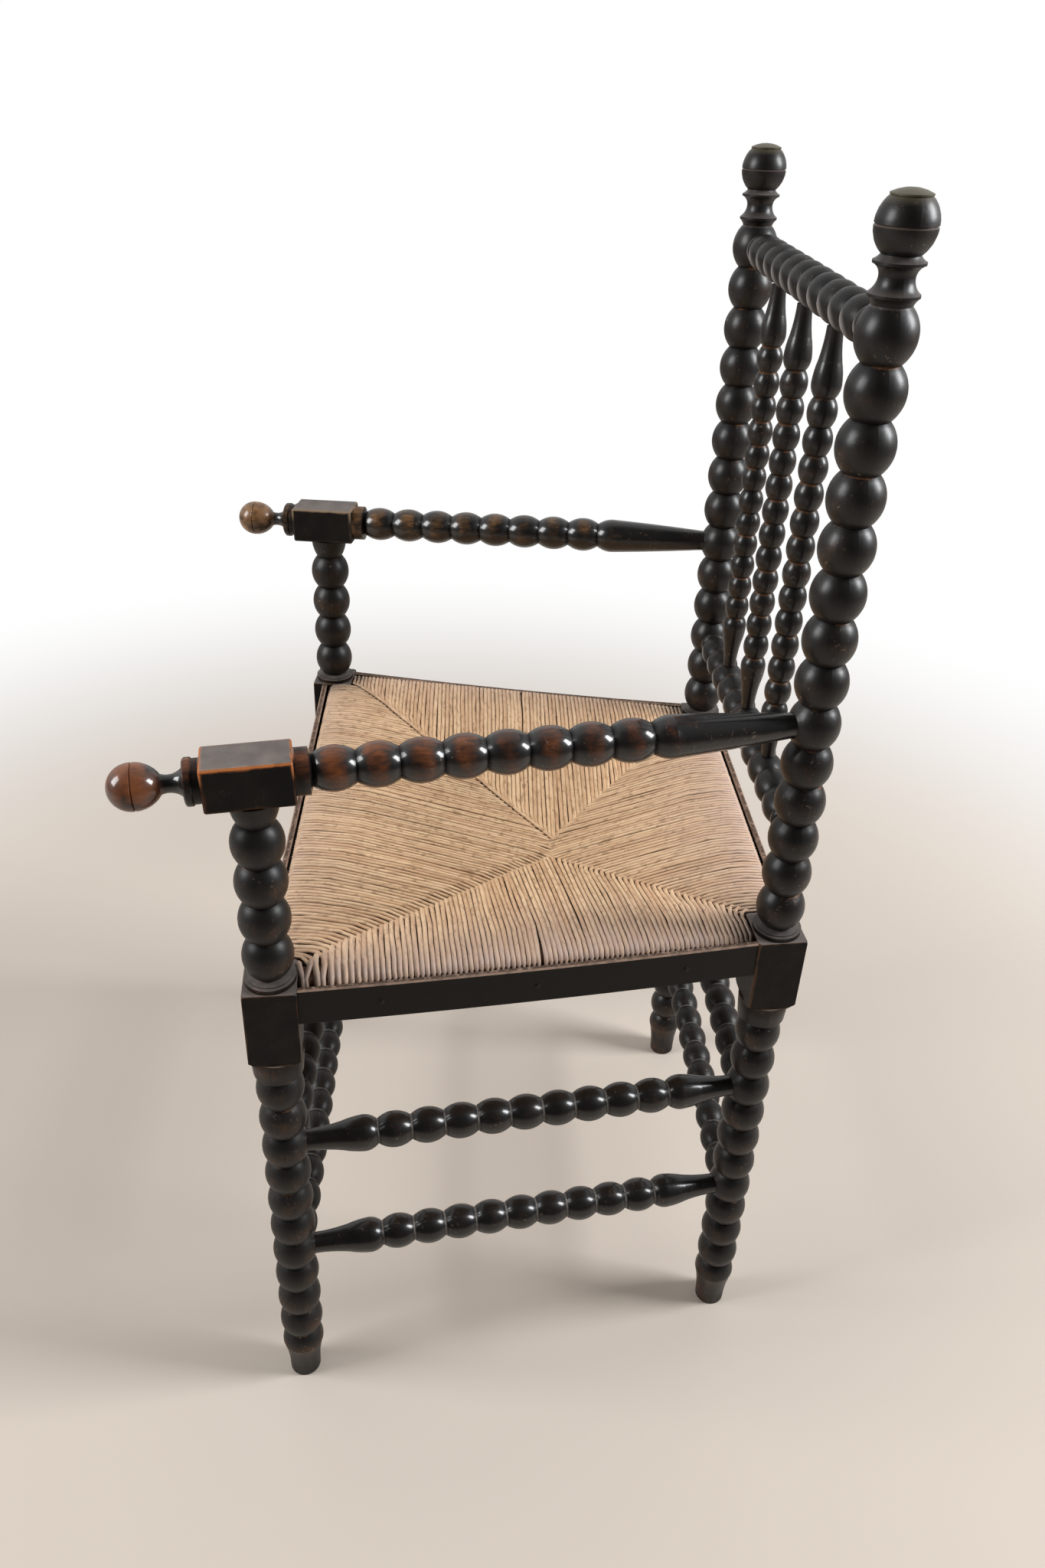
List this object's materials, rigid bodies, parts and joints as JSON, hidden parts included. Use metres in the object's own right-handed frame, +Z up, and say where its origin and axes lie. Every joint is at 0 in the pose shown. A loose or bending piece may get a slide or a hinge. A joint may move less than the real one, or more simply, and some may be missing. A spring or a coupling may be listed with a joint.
{
  "type": "armchair",
  "caption": "Open armchair of bobbin-turned ebonised wood with square seat and arm blocks, turned stretchers, a spindle back and a sagging woven rush seat.",
  "frame": {"origin": "on the floor under the middle of the chair's bounding box", "axes": "+Z up, -Y the way the sitter faces, +X towards the sitter's left hand"},
  "size_m": [0.5239, 0.4906, 0.9757],
  "materials": {
    "ebonised_wood": "worn black polish, satin",
    "plain_wood": "bare",
    "edging_wood": "black stain with worn edges",
    "rush": "twisted dry rush",
    "nail_iron": "dull black"
  },
  "bodies": {
    "root": {"front_left_post": "ebonised_wood", "rear_left_post": "ebonised_wood", "left_arm": "ebonised_wood", "left_upper_stretcher": "ebonised_wood", "left_lower_stretcher": "ebonised_wood", "front_right_post": "ebonised_wood", "rear_right_post": "ebonised_wood", "right_arm": "ebonised_wood", "right_upper_stretcher": "ebonised_wood", "right_lower_stretcher": "ebonised_wood", "front_upper_stretcher": "ebonised_wood", "front_lower_stretcher": "ebonised_wood", "rear_upper_stretcher": "ebonised_wood", "rear_lower_stretcher": "ebonised_wood", "crest_rail": "ebonised_wood", "lower_back_rail": "ebonised_wood", "left_spindle": "ebonised_wood", "centre_spindle": "ebonised_wood", "right_spindle": "ebonised_wood", "front_seat_rail": "plain_wood", "front_edging": "edging_wood", "left_seat_rail": "plain_wood", "left_edging": "edging_wood", "rear_seat_rail": "plain_wood", "rear_edging": "edging_wood", "right_seat_rail": "plain_wood", "right_edging": "edging_wood", "rush_seat": "rush", "edging_nails": "nail_iron"}
  },
  "joints": []
}
